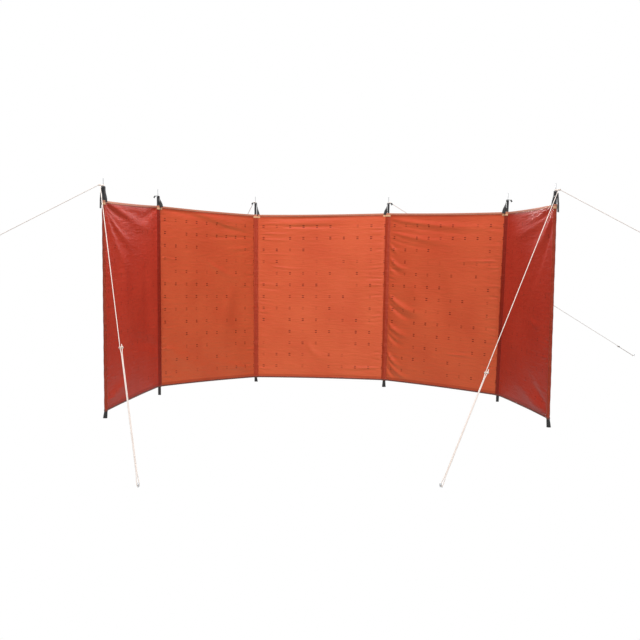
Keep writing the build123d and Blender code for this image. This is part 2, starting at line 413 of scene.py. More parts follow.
def add_piece(name, mesh, material, smooth=True):
    """A piece that rides on the root and its material."""
    if smooth:
        mesh.polygons.foreach_set("use_smooth", [True] * len(mesh.polygons))
    mesh.materials.append(material)
    piece = add_object(name, mesh)
    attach(piece, "root")
    return piece


def mesh_from(name, points, faces, uv=None, round_about=None):
    """A mesh from points, faces and, for each point, its place on the cut.

    Where the cut runs round a tube, round_about is the way round, so that the last quad closes it.
    """
    mesh = bpy.data.meshes.new(name)
    mesh.from_pydata([tuple(map(float, p)) for p in points], [], [tuple(map(int, f)) for f in faces])
    if uv is not None:
        loops = np.zeros(len(mesh.loops), int)
        mesh.loops.foreach_get("vertex_index", loops)
        own = np.asarray(uv, float)[loops]
        if round_about:
            starts = np.array([p.loop_start for p in mesh.polygons if p.loop_total == 4])
            corners = starts[:, None] + np.arange(4)
            around = own[corners, 0]
            behind = around.max(axis=1, keepdims=True) - around > round_about / 2
            own[corners, 0] = around + behind * round_about
        layer = mesh.uv_layers.new(name="cut")
        layer.data.foreach_set("uv", own.ravel())
    mesh.update()
    return mesh


def grid_faces(rows, columns, around=False, closed=False):
    """Quads over rows of points. Around closes each row, and closed joins the last to the first."""
    faces = []
    for row in range(rows if closed else rows - 1):
        low, high = row * columns, (row + 1) % rows * columns
        for column in range(columns if around else columns - 1):
            beside = (column + 1) % columns
            faces.append((low + column, low + beside, high + beside, high + column))
    return faces


def quads(name, rows, uv, around=False, round_about=None):
    """A mesh of quads over rows of points, each row with its places on the cut."""
    faces = grid_faces(len(rows), len(rows[0]), around)
    return mesh_from(name, np.concatenate(rows), faces, np.concatenate(uv), round_about)


def turned(centre, first, second, angle, radius):
    """The point at an angle round a centre, in the plane of two directions."""
    return centre + (first * math.cos(angle) + second * math.sin(angle)) * radius


def sides_along(points):
    """Two sides for each point of a line, turning as little as they can."""
    sides = []
    side = None
    for index in range(len(points)):
        before = points[max(index - 1, 0)]
        after = points[min(index + 1, len(points) - 1)]
        direction = (after - before).normalized()
        if side is None:
            side = direction.orthogonal().normalized()
        side = (side - direction * side.dot(direction)).normalized()
        sides.append((side, direction.cross(side)))
    return sides


def tube(name, points, radius, sides):
    """A closed round tube along points, with the cut's metres round and along it."""
    rings, uv = [], []
    along = 0.0
    for index, (point, (side, other)) in enumerate(zip(points, sides_along(points))):
        if index:
            along += (point - points[index - 1]).length
        for step in range(sides):
            angle = 2 * math.pi * step / sides
            rings.append(turned(point, side, other, angle, radius))
            uv.append((angle * radius, along))
    faces = [face[::-1] for face in grid_faces(len(points), sides, around=True)]
    faces.append(tuple(range(sides)))
    faces.append(tuple(range(len(rings) - 1, len(rings) - sides - 1, -1)))
    return mesh_from(name, rings, faces, uv, round_about=2 * math.pi * radius)


def joined(name, meshes):
    """One mesh from several that have a UV layer each."""
    points, faces, uv = [], [], []
    for mesh in meshes:
        start = len(points)
        points += [v.co.copy() for v in mesh.vertices]
        faces += [[start + v for v in face.vertices] for face in mesh.polygons]
        own = np.zeros(2 * len(mesh.loops))
        mesh.uv_layers[0].data.foreach_get("uv", own)
        uv.append(own)
        bpy.data.meshes.remove(mesh)
    mesh = mesh_from(name, points, faces)
    layer = mesh.uv_layers.new(name="cut")
    layer.data.foreach_set("uv", np.concatenate(uv))
    return mesh


def arc(centre, first, second, radius, start, end, steps):
    """Points of an arc in the plane of two directions, between two angles in degrees."""
    points = []
    for step in range(steps + 1):
        angle = math.radians(start + (end - start) * step / steps)
        points.append(turned(centre, first, second, angle, radius))
    return points


# Poles

# Vertices this near in height to a tube's lowest or highest one make up its end
POLE_END = 0.003


class Pole:
    """The axis of a pole, read from its tube, and the heights of the hems on it."""

    def __init__(self, number):
        self.number = number
        points = [v.co for v in nodes[f"pole_{number}"].data.vertices]
        lowest = min(p.z for p in points)
        highest = max(p.z for p in points)
        self.foot = self.middle([p for p in points if p.z < lowest + POLE_END])
        self.top = self.middle([p for p in points if p.z > highest - POLE_END])
        self.axis = (self.top - self.foot).normalized()
        low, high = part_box(f"pole_{number}")
        self.radius = (high.y - low.y) / 2
        low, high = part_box(f"sleeve_{number}")
        self.hem_low, self.hem_high = low.z, high.z
        self.inward = 1 if number <= POLES / 2 else -1
        self.is_end = number in (1, POLES)

    @staticmethod
    def middle(points):
        low = Vector(map(min, zip(*points)))
        high = Vector(map(max, zip(*points)))
        return (low + high) / 2

    def at(self, height):
        """The point of the axis at a height above the ground."""
        return self.foot + self.axis * ((height - self.foot.z) / self.axis.z)

    def arms(self):
        """The level directions in which cloth leaves the pole."""
        found = []
        if self.number > 1:
            found.append(bays[self.number - 2].direction * -1)
        if self.number < POLES:
            found.append(bays[self.number - 1].direction)
        return found


# The folds that show in each bay: start and end as shares of the bay's width and height, then
# half width and height in millimetres before the two factors below, and how far the fold bows to
# one side in metres. Those with a positive height stand towards the hollow side.
FOLDS = ((
    (0, 1, 0.95, 0.865, 26, 9, 0.02), (0.01, 0.985, 0.62, 0.9, 16, -7, 0.02),
    (0, 0.98, 0.5, 0.78, 20, 8, 0.03), (0, 0.97, 0.36, 0.84, 12, -5, 0.01),
    (0, 0.95, 0.4, 0.66, 24, 6, 0.03), (0.02, 0.92, 0.22, 0.55, 22, -5, 0.02),
    (0.05, 0.99, 0.9, 0.965, 18, 5, 0), (1, 0.98, 0.55, 0.9, 20, -4, 0),
    (0.98, 0.22, 0.3, 0.3, 40, -5, 0.03), (0.3, 0.75, 0.45, 0.1, 70, 6, 0.02),
    (0.75, 0.7, 0.8, 0.12, 60, -5, 0.02), (0, 0.05, 0.5, 0.14, 30, 5, 0.02),
), (
    (0.32, 0.985, 0.99, 0.925, 22, 8, 0.01), (0.6, 0.9, 0.99, 0.88, 14, -2, -0.01),
    (1, 0.86, 0.3, 0.845, 9, -3, 0), (0.98, 0.8, 0.64, 0.775, 10, 3, 0),
    (0.45, 0.72, 0.85, 0.6, 16, 4, 0.02), (0.02, 0.985, 0.6, 0.955, 16, -4, 0),
    (0.55, 0.945, 0.99, 0.9, 9, 3, 0.01), (0.05, 0.22, 0.5, 0.06, 40, 5, 0.02),
    (0.95, 0.05, 0.55, 0.1, 22, 4, 0.01), (0.35, 0.6, 0.55, 0.2, 60, -4, 0.03),
    (0.75, 0.55, 0.62, 0.15, 50, 4, 0.02),
), (
    (0.08, 0.972, 0.92, 0.985, 9, -4, 0), (0.2, 0.925, 0.7, 0.928, 9, -5, 0),
    (0.02, 0.945, 0.6, 0.95, 10, 3, 0), (0.02, 0.885, 0.3, 0.88, 7, 3, 0),
    (0.03, 0.85, 0.28, 0.842, 7, 3, 0), (0.01, 0.76, 0.32, 0.758, 5, 2, 0),
    (0.1, 0.69, 0.42, 0.672, 7, 3, 0.01), (0.02, 0.555, 0.22, 0.55, 7, -2, 0.01),
    (0.98, 0.075, 0.68, 0.062, 9, 4, 0), (0.85, 0.015, 0.45, 0.018, 8, -3, 0),
    (0.45, 0.65, 0.2, 0.25, 70, 4, 0.03), (0.7, 0.75, 0.8, 0.3, 60, -4, 0.02),
    (0.4, 0.22, 0.6, 0.12, 20, 3, 0.04), (0.98, 0.6, 0.75, 0.52, 24, 3, 0.01),
), (
    (0.02, 0.965, 0.98, 0.915, 15, 6, 0.015), (0.1, 0.925, 0.8, 0.88, 10, -2, 0.01),
    (0.03, 0.885, 0.62, 0.825, 15, 5, 0.01), (0.02, 0.845, 0.45, 0.79, 10, -2, 0.01),
    (0, 0.82, 0.1, 0.76, 10, 6, 0.01), (0, 0.74, 0.2, 0.665, 12, 7, 0.02),
    (0, 0.69, 0.14, 0.64, 10, -5, 0.01), (0, 0.52, 0.34, 0.41, 16, 8, 0.03),
    (0, 0.47, 0.26, 0.37, 12, -6, 0.02), (0, 0.35, 0.24, 0.27, 15, 8, 0.02),
    (0, 0.29, 0.18, 0.215, 11, -6, 0.02), (0, 0.18, 0.16, 0.085, 13, 9, 0.02),
    (0, 0.13, 0.24, 0.015, 12, 7, 0.02), (0, 0.09, 0.1, 0.02, 8, -6, 0.01),
    (1, 0.735, 0.6, 0.725, 7, 3, 0), (0.56, 0.195, 0.84, 0.2, 7, 3, 0),
    (0.45, 0.7, 0.6, 0.25, 70, -5, 0.02), (0.25, 0.6, 0.35, 0.3, 60, 5, 0.02),
), (
    (1, 0.995, 0.02, 0.86, 34, 9, -0.02), (0.99, 0.98, 0.2, 0.9, 16, -6, -0.02),
    (1, 0.96, 0.4, 0.7, 30, 8, -0.03), (0.98, 0.93, 0.55, 0.56, 26, -6, -0.02),
    (0.95, 0.99, 0.2, 0.965, 14, 5, 0), (1, 0.02, 0.3, 0.14, 30, 8, -0.02),
    (0.98, 0.06, 0.55, 0.2, 22, -6, -0.01), (0.6, 0.45, 0.85, 0.42, 14, 4, 0.01),
    (0.05, 0.75, 0.2, 0.2, 70, 6, 0.02), (0.6, 0.6, 0.5, 0.15, 80, -6, 0.02),
))
FOLD_STRENGTH = 1.7
FOLD_BREADTH = 1.45

# The trough on both sides of a fold, as shares of the fold's height and width
TROUGH_DEPTH = 0.35
TROUGH_BREADTH = 2.2

# The cloth's slow waves and its sag in metres, the shares of a bay over which seams and hems hold
# it, and the share of its relief that a hem leaves
SWELL = 0.004
RIPPLE = 0.0012
SAG = 0.004
SEAM_HOLD = 0.03
HEM_HOLD = 0.035
HEM_GIVE = 0.45

# Creases at each side of each bay, their half width in millimetres, and what draws the rest
PUCKERS = (7, 24, 26, 28, 9)
PUCKER_WIDTH = 6
DRAW = np.random.default_rng(11)


class Bay:
    """The cloth of one bay: a stretched sheet between two sleeves, with its folds."""

    def __init__(self, number, left, right):
        self.number = number
        across = right.at(CLOTH_HEIGHT / 2) - left.at(CLOTH_HEIGHT / 2)
        across.z = 0
        self.direction = across.normalized()
        self.towards = self.direction.cross(UP)
        reach = self.direction * SLEEVE_REACH
        self.corners = [np.array(p) for p in (
            left.at(left.hem_low) + reach, right.at(right.hem_low) - reach,
            left.at(left.hem_high) + reach, right.at(right.hem_high) - reach)]
        self.width = float(np.linalg.norm(self.corners[1] - self.corners[0]))
        self.folds = list(FOLDS[number - 1]) + self.puckers()

    def puckers(self):
        """Short level creases that run out from the seams of the sleeves."""
        found = []
        for side in (0.0, 1.0):
            for height in DRAW.uniform(0.03, 0.97, PUCKERS[self.number - 1]):
                reach = DRAW.uniform(0.04, 0.2)
                end = side + reach if side == 0 else side - reach
                tall = DRAW.uniform(0.8, 2.0) * DRAW.choice((-1, 1))
                end_height = height - DRAW.uniform(-0.01, 0.015)
                found.append((side, height, end, end_height, PUCKER_WIDTH, tall, 0.0))
        return found

    def relief(self, u, v):
        """How far the cloth stands towards the hollow side at shares u and v of the bay."""
        x, y = u * self.width, v * CLOTH_HEIGHT
        total = np.zeros_like(x)
        for u0, v0, u1, v1, half_width, tall, bow in self.folds:
            start = np.array((u0 * self.width, v0 * CLOTH_HEIGHT))
            end = np.array((u1 * self.width, v1 * CLOTH_HEIGHT))
            length = np.linalg.norm(end - start)
            along = (end - start) / length
            t = np.clip(((x - start[0]) * along[0] + (y - start[1]) * along[1]) / length, 0, 1)
            beside = (x - start[0]) * along[1] - (y - start[1]) * along[0]
            beside = beside - 4 * bow * t * (1 - t)
            width = FOLD_BREADTH * half_width / 1000 * (0.6 + 0.8 * t)
            trough = np.exp(-((beside / (TROUGH_BREADTH * width)) ** 2))
            ridge = np.exp(-((beside / width) ** 2)) - TROUGH_DEPTH * trough
            total += FOLD_STRENGTH * tall / 1000 * ridge * np.sin(np.pi * t**0.6)
        phase = self.number * 1.7
        total += SWELL * np.sin(3.1 * x + 2.3 * y + phase) * np.sin(2.2 * y - 1.4 * x + 2 * phase)
        total += RIPPLE * np.sin(11 * x - 7 * y + phase) * np.sin(9 * y + 6 * x)
        held = rise(0, SEAM_HOLD, u) * rise(0, SEAM_HOLD, 1 - u)
        free = rise(0, HEM_HOLD, v) * rise(0, HEM_HOLD, 1 - v)
        return total * held * (HEM_GIVE + (1 - HEM_GIVE) * free)

    def points(self, u, v, proud=0.0):
        """Points of the cloth at shares u and v, standing proud of it towards the hollow side."""
        u, v = np.asarray(u, float), np.asarray(v, float)
        low = self.corners[0] + np.multiply.outer(u, self.corners[1] - self.corners[0])
        high = self.corners[2] + np.multiply.outer(u, self.corners[3] - self.corners[2])
        place = low + (high - low) * v[..., None]
        out = self.relief(u, v) + proud
        place = place + np.multiply.outer(out, np.array(self.towards))
        place[..., 2] -= SAG * 4 * u * (1 - u) * (2 * v - 1)
        return place

    def cut(self, u, v):
        """The same points on the flat cut, in metres."""
        return np.stack([u * self.width, v * CLOTH_HEIGHT], axis=-1)


poles = [Pole(number) for number in range(1, POLES + 1)]
bays = [Bay(number, poles[number - 1], poles[number]) for number in range(1, BAYS + 1)]


def make_bay_cloth(bay):
    u, v = np.meshgrid(np.linspace(0, 1, COLUMNS + 1), np.linspace(0, 1, ROWS + 1))
    name = f"bay_cloth_{bay.number}"
    # The two end bays take the cloth with painted shade in its through colours
    finish = shaded_end_bay_cloth if bay.number in (1, BAYS) else bay_cloth
    piece = add_piece(name, quads(name, bay.points(u, v), bay.cut(u, v)), finish)
    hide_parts(f"panel_{bay.number}")
    return piece


# The front half of a folded strip: shares of its width towards the edge and of its height
FOLDED_OVER = [(0.0, 0.55), (0.0, 1.0), (0.25, 1.0), (0.5, 1.0), (0.75, 1.0), (0.95, 1.0), (1.0, 0.7),
               (1.004, 0.0)]


def edge_strip(bay, at_top, width):
    """A strip over the front, the edge and the back of a bay, at its top or its bottom."""
    across = np.linspace(0, 1, COLUMNS + 1)
    rows, uv = [], []
    for reach, side in FOLDED_OVER + [(reach, -side) for reach, side in FOLDED_OVER[-2::-1]]:
        depth = width * (1 - reach) / CLOTH_HEIGHT
        v = np.full_like(across, 1 - depth if at_top else depth)
        rows.append(bay.points(across, v, proud=HEM_PROUD * side))
        uv.append(bay.cut(across, v)[:, ::-1])
    return quads("strip", rows, uv)


def make_hems(bay):
    """The tapes that bind the cloth, dark at the bottom and pale at the top."""
    low = edge_strip(bay, False, LOW_HEM_WIDTH)
    high = edge_strip(bay, True, HEM_WIDTH)
    return [add_piece(f"low_hem_{bay.number}", low, low_hem_tape),
            add_piece(f"high_hem_{bay.number}", high, hem_tape)]


def make_tab(pole):
    """The tape on the front of the bay below the strap's end, at the pole's inner side."""
    bay = bays[pole.number - 1] if pole.inward > 0 else bays[pole.number - 2]
    reach = TAB_WIDTH / bay.width
    ends = (0, reach) if pole.inward > 0 else (1 - reach, 1)
    across = np.linspace(*ends, TAB_COLUMNS + 1)
    low, high = PATCH_DROP + PATCH_HEIGHT, PATCH_DROP
    outline = ((low, TAB_BACK), (low, TAB_PROUD), (high, TAB_PROUD), (high, TAB_BACK), (low, TAB_BACK))
    rows, uv = [], []
    for depth, proud in outline:
        v = np.full_like(across, 1 - depth / CLOTH_HEIGHT)
        rows.append(bay.points(across, v, proud=proud))
        uv.append(bay.cut(across, v))
    name = f"tab_{pole.number}"
    add_piece(name, quads(name, rows, uv), cream_webbing, smooth=False)


STITCH_LENGTH = 0.0034
STITCH_PITCH = 0.0046
STITCH_RADIUS = 0.00042
STITCH_MARGIN = 0.004

# A stitch's corners, in half lengths along it and in radii beside it and up
STITCH_CORNERS = ((-1, 0, 0), (-0.6, 1, 0.7), (-0.6, -1, 0.7), (0.6, 1, 0.7), (0.6, -1, 0.7), (1, 0, 0),
                  (-0.6, 0, 1.3), (0.6, 0, 1.3))
STITCH_FACES = ((0, 6, 1), (0, 2, 6), (1, 6, 7, 3), (2, 4, 7, 6), (3, 7, 5), (4, 5, 7), (0, 1, 2),
                (1, 3, 4, 2), (5, 4, 3))

# How far the lines of stitches lie inside the tapes' inner edges and the seams, and off the cloth
LOW_INSET = 0.002
HIGH_INSET = 0.003
SEAM_INSET = 0.003
HEM_STITCH_PROUD = HEM_PROUD + 0.0001
SEAM_STITCH_PROUD = 0.0003


def stitch_points(lines):
    """Points and faces of the stitches along lines, each an array of points and a normal."""
    points, faces = [], []
    for line, normal in lines:
        steps = np.diff(line, axis=0)
        lengths = np.linalg.norm(steps, axis=1)
        distance = np.concatenate([[0], np.cumsum(lengths)])
        for start in np.arange(STITCH_MARGIN, distance[-1] - STITCH_MARGIN, STITCH_PITCH):
            centre = np.array([np.interp(start, distance, column) for column in line.T])
            index = min(int(np.searchsorted(distance, start)), len(steps)) - 1
            along = steps[max(index, 0)] / lengths[max(index, 0)]
            beside = np.cross(normal, along)
            first = len(points)
            for x, y, z in STITCH_CORNERS:
                points.append(centre + along * x * STITCH_LENGTH / 2 + beside * y * STITCH_RADIUS
                              + normal * z * STITCH_RADIUS)
            faces += [[first + corner for corner in face] for face in STITCH_FACES]
    return points, faces


def make_stitching(bay):
    """Lockstitch along both hems and beside both sleeves, on the front and on the back."""
    towards = np.array(bay.towards)
    across = np.linspace(0, 1, COLUMNS + 1)
    upward = np.linspace(0, 1, ROWS + 1)
    low_hem = (LOW_HEM_WIDTH - LOW_INSET) / CLOTH_HEIGHT
    high_hem = 1 - (HEM_WIDTH - HIGH_INSET) / CLOTH_HEIGHT
    seam = SEAM_INSET / bay.width
    paths = [(across, np.full_like(across, level), HEM_STITCH_PROUD) for level in (low_hem, high_hem)]
    paths += [(np.full_like(upward, place), upward, SEAM_STITCH_PROUD) for place in (seam, 1 - seam)]
    lines = [(bay.points(u, v, proud=side * proud), towards * side)
             for side in (1, -1) for u, v, proud in paths]
    mesh = mesh_from(f"stitching_{bay.number}", *stitch_points(lines))
    return add_piece(f"stitching_{bay.number}", mesh, thread)


SLEEVE_ROWS = 160
SLEEVE_SIDES = 40
SLEEVE_GAP = 0.0009
SLEEVE_SLACK = 0.0009
SLEEVE_THICKNESS = 0.0004
# Poles whose sleeves take the darker cloth, as painted shade where the pole blocks the light from behind
SHADED_SLEEVES = (2, 5)

# In radians beside a seam: where the sleeve is pinched, where no even step is, and the seam's own
SEAM_PINCH = 0.25
SEAM_CLEAR = 0.08
SEAM_STEPS = np.array((-0.12, -0.04, 0.0, 0.04, 0.12))

# The rolled edge of a band of tape, as distances inside its edge and out from its face
BAND_EDGE = ((0, -0.0012), (-0.0006, -0.0004), (0, 0), (0.0008, 0.0003))


def off_heading(angles, heading):
    """How far angles lie from a heading, the shorter way round."""
    return np.abs((angles - heading + math.pi) % (2 * math.pi) - math.pi)


def ring_round(centre, angles, reach):
    """Points at these angles and distances round a centre, level with it."""
    ring = np.stack([np.cos(angles) * reach, np.sin(angles) * reach, 0 * reach], axis=-1)
    return np.array(centre) + ring


def sleeve_outline(pole):
    """The seams' headings, the angles at which the sleeve is drawn, its radius and its reach there.

    The seams lie exactly on angles. The sleeve goes round the tube and out to each seam.
    """
    headings = [math.atan2(arm.y, arm.x) for arm in pole.arms()]
    angles = np.linspace(0, 2 * math.pi, SLEEVE_SIDES, endpoint=False)
    for heading in headings:
        angles = angles[off_heading(angles, heading) > SEAM_CLEAR]
        angles = np.append(angles, (heading + SEAM_STEPS) % (2 * math.pi))
    angles = np.sort(angles)
    radius = pole.radius + SLEEVE_GAP
    spread = math.acos(radius / SLEEVE_REACH)
    reach = np.full_like(angles, radius)
    for heading in headings:
        off = off_heading(angles, heading)
        arm = radius / np.cos(np.clip(spread - off, 0, spread))
        reach = np.maximum(reach, np.where(off < spread, arm, radius))
    return headings, angles, radius, reach


def make_sleeve(pole):
    """The pocket round a pole, slightly slack, pinched at the seams where the bays begin."""
    headings, angles, radius, reach = sleeve_outline(pole)
    seam = np.maximum.reduce([rise(SEAM_PINCH, 0.0, off_heading(angles, h)) for h in headings])
    rows, uv = [], []
    height = pole.hem_high - pole.hem_low
    upward = [(row / SLEEVE_ROWS, 0.0) for row in range(SLEEVE_ROWS + 1)]
    downward = [(share, SLEEVE_THICKNESS) for share, _ in reversed(upward)]
    for share, inner in upward + downward + upward[:1]:
        slack = np.sin(38 * share + 3 * angles + pole.number) * np.sin(61 * share - 2 * angles)
        out = reach + (1 - seam) * SLEEVE_SLACK * (1 + slack) - inner
        rows.append(ring_round(pole.at(pole.hem_low + height * share), angles, out))
        uv.append(np.stack([angles * radius, np.full_like(angles, height * share)], axis=-1))
    name = f"sleeve_cloth_{pole.number}"
    mesh = quads(name, rows, uv, around=True, round_about=2 * math.pi * radius)
    # Sleeves at those poles take the cloth with painted shade
    finish = shaded_sleeve_cloth if pole.number in SHADED_SLEEVES else sleeve_cloth
    piece = add_piece(name, mesh, finish)
    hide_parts(f"sleeve_{pole.number}")


def band_round(pole, low, high, proud):
    """A band of tape round the sleeve, between two heights and that far outside it."""
    _, angles, radius, reach = sleeve_outline(pole)
    rim = [(low + inside, out) for inside, out in BAND_EDGE]
    rim += [(high - inside, out) for inside, out in reversed(BAND_EDGE)]
    rows, uv = [], []
    for level, out in rim:
        rows.append(ring_round(pole.at(level), angles, reach + proud + out))
        uv.append(np.stack([np.full_like(angles, level - low), angles * radius], axis=-1))
    return quads("band", rows, uv, around=True)


def make_sleeve_tapes(pole):
    """The hems' tape round the ends of the sleeve, and the cream tape that the strap is sewn to."""
    low, high = pole.hem_low, pole.hem_high
    upper = high - PATCH_DROP
    for name, start, end, proud, finish in (
            ("low_band", low, low + LOW_HEM_WIDTH, BAND_PROUD, low_hem_tape),
            ("high_band", high - HEM_WIDTH, high, BAND_PROUD, hem_tape),
            ("patch", upper - PATCH_HEIGHT, upper, PATCH_PROUD, cream_webbing)):
        add_piece(f"{name}_{pole.number}", band_round(pole, start, end, proud), finish)


# Straps, with how far each is turned at the hem and at its tail, in degrees

STRAP_MIDDLE = CAP_HEIGHT + 0.0013
STRAP_SHOULDER = 0.0105
STRAP_HEM_OFFSET = 0.0235
END_HEM_OFFSET = 0.0110
STRAP_START = 0.010
STRAP_RISE = 0.012
STRAP_BEND = 0.0055
STRAP_SPACING = 0.0016
STRAP_COLUMNS = 14
EDGE_SQUARENESS = 8
HEM_TURNS = (62, 82, 50, 82, 82, 62)
HEM_TURN_REACH = 0.8
TAIL_TURN = 36
TAIL_TURN_START = 0.008
TAIL_TURN_END = 0.022

# The tail's two points, as distances outside the shoulder and up: from the hem on an end pole, and
# from the strap's middle on the others
END_TAIL = ((0.0065, 0.004), (0.0075, -0.045))
INNER_TAIL = ((0.012, -0.0045), (0.017, -0.0135))

# The hole in the strap, and the rolled ring of metal in it
EYELET_RADIUS = 0.0037
EYELET_DEPTH = 0.002
RING_RADIUS = 0.0048
RING_ROLL = 0.0014
RING_RISE = 0.0012
RING_STEPS = 40
ROLL_STEPS = 12


def rounded(points, radius, steps=7):
    """A line through points in a plane, with its corners rounded to that radius."""
    points = [Vector(p) for p in points]
    line = [points[0]]
    for before, corner, after in zip(points, points[1:], points[2:]):
        back, ahead = (before - corner).normalized(), (after - corner).normalized()
        reach = radius / math.tan(back.angle(ahead) / 2)
        reach = min(reach, 0.48 * (before - corner).length, 0.48 * (after - corner).length)
        for step in range(steps + 1):
            t = step / steps
            line.append(corner + back * reach * (1 - t) ** 2 + ahead * reach * t**2)
    return line + [points[-1]]


def resampled(line, spacing):
    """Points at even distances along a line, near that spacing."""
    line = np.array([tuple(p) for p in line])
    distance = np.concatenate([[0], np.cumsum(np.linalg.norm(np.diff(line, axis=0), axis=1))])
    count = max(2, int(round(distance[-1] / spacing)) + 1)
    even = np.linspace(0, distance[-1], count)
    return even, np.stack([np.interp(even, distance, column) for column in line.T], axis=-1)


def strap_line(pole):
    """The strap's own line in the pole's side plane, across and up from the top of the tube."""
    side = pole.inward
    hem = pole.hem_high - pole.top.z
    hem_offset, tail, tail_height = STRAP_HEM_OFFSET, INNER_TAIL, STRAP_MIDDLE
    if pole.is_end:
        hem_offset, tail, tail_height = END_HEM_OFFSET, END_TAIL, hem
    shoulder = side * STRAP_SHOULDER
    corners = [(side * hem_offset, hem - STRAP_START), (shoulder, STRAP_MIDDLE - STRAP_RISE),
               (shoulder, STRAP_MIDDLE), (-shoulder, STRAP_MIDDLE)]
    corners += [(-side * (STRAP_SHOULDER + out), tail_height + up) for out, up in tail]
    return resampled(rounded(corners, STRAP_BEND), STRAP_SPACING)


def strap_twist(pole, distance, line):
    """How far the strap is turned about its own line: flat on the cap, nearly face on at the hem."""
    risen = (line[:, 1] - line[0, 1]) / (STRAP_MIDDLE - line[0, 1])
    hem_turn = 1 - rise(0, HEM_TURN_REACH, risen)
    highest = np.argmax(line[:, 1])
    hem_turn[highest:] = 0
    past_cap = (np.arange(len(line)) > highest) & (line[:, 0] * -pole.inward > 0)
    since = distance - distance[past_cap][0]
    tail_turn = rise(TAIL_TURN_START, TAIL_TURN_END, since) * past_cap
    return math.radians(HEM_TURNS[pole.number - 1]) * hem_turn + math.radians(TAIL_TURN) * tail_turn


def make_strap(pole):
    """Webbing over the pole's cap, with a hole for the spike."""
    across = Vector((pole.axis.z, 0, -pole.axis.x))
    beside = pole.axis.cross(across)
    distance, line = strap_line(pole)
    tangent = np.gradient(line, axis=0)
    tangent /= np.linalg.norm(tangent, axis=1, keepdims=True)
    normal = np.stack([-tangent[:, 1], tangent[:, 0]], axis=-1) * -pole.inward
    shares = np.linspace(-1, 1, STRAP_COLUMNS + 1)
    points, uv, in_hole = [], [], []
    edge = STRAP_THICKNESS / 2 * np.sqrt(np.clip(1 - np.abs(shares) ** EDGE_SQUARENESS, 0, 1))
    turns = strap_twist(pole, distance, line)
    for side in (1, -1):
        for place, out, along, turn in zip(line, normal, distance, turns):
            for share, half in zip(shares, edge):
                width = share * STRAP_WIDTH / 2
                lift = width * math.sin(turn) + side * half * math.cos(turn)
                aside = width * math.cos(turn) - side * half * math.sin(turn)
                flat = place + out * lift
                away = math.hypot(flat[0], aside)
                in_hole.append(abs(flat[1] - STRAP_MIDDLE) < EYELET_DEPTH and away < EYELET_RADIUS)
                if in_hole[-1]:
                    grown = EYELET_RADIUS / max(away, 1e-6)
                    flat = np.array((flat[0] * grown, flat[1]))
                    aside *= grown
                points.append(pole.top + across * flat[0] + pole.axis * flat[1] + beside * aside)
                uv.append((width + STRAP_WIDTH / 2, along))
    count = len(line)
    faces = grid_faces(count, STRAP_COLUMNS + 1)
    layer = count * (STRAP_COLUMNS + 1)
    faces += [tuple(layer + v for v in reversed(face)) for face in faces]
    for row in (0, count - 1):
        for column in range(STRAP_COLUMNS):
            first = row * (STRAP_COLUMNS + 1) + column
            rim = (first, first + 1, layer + first + 1, layer + first)
            faces.append(rim if row else rim[::-1])
    faces = [face for face in faces if not all(in_hole[corner] for corner in face)]
    name = f"webbing_{pole.number}"
    piece = add_piece(name, mesh_from(name, points, faces, uv), black_webbing)
    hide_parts(f"strap_{pole.number}")


def make_eyelet(pole):
    """The metal eyelet in the strap, rolled over above and below."""
    centre, axis = pole.top + pole.axis * STRAP_MIDDLE, pole.axis
    first = axis.orthogonal().normalized()
    second = axis.cross(first)
    points, uv = [], []
    for roll in range(ROLL_STEPS):
        roll_angle = 2 * math.pi * roll / ROLL_STEPS
        out = RING_RADIUS + RING_ROLL * math.cos(roll_angle)
        up = RING_RISE * math.sin(roll_angle)
        for step in range(RING_STEPS):
            angle = 2 * math.pi * step / RING_STEPS
            points.append(turned(centre, first, second, angle, out) + axis * up)
            uv.append((angle * out, up))
    faces = grid_faces(ROLL_STEPS, RING_STEPS, around=True, closed=True)
    name = f"eyelet_{pole.number}"
    add_piece(name, mesh_from(name, points, faces, uv), eyelet_metal)


# Guy ropes

STRAP_TOP = CAP_HEIGHT + 0.0023
SPIKE_LOOP = SPIKE_RADIUS + SPIKE_LOOP_GAP + ROPE_RADIUS
PEG_LOOP = PEG_RADIUS + PEG_LOOP_GAP + ROPE_RADIUS

# The rope's short end at the spike, as distances along the loop's arms and shares of its radius
# back, the bend at the knot, and how far the other end lies above the runner
SHORT_END = ((0.020, 0.4), (0.011, 0.95))
KNOT_BEND = 0.010
FREE_END = 0.024

# Where the two strands meet above the peg, the gap between them and how fast they close
PEG_ARMS = 0.02
STRAND_GAP = 0.0001
CLOSING = 0.06

# Steps of a loop, of the bend, of the long run, of a strand and of each turn of a knot
LOOP_STEPS = 16
BEND_STEPS = 10
RUN_STEPS = 40
STRAND_STEPS = 60
COIL_STEPS = 14


def heading_vector(degrees):
    return Vector((math.cos(math.radians(degrees)), math.sin(math.radians(degrees)), 0))


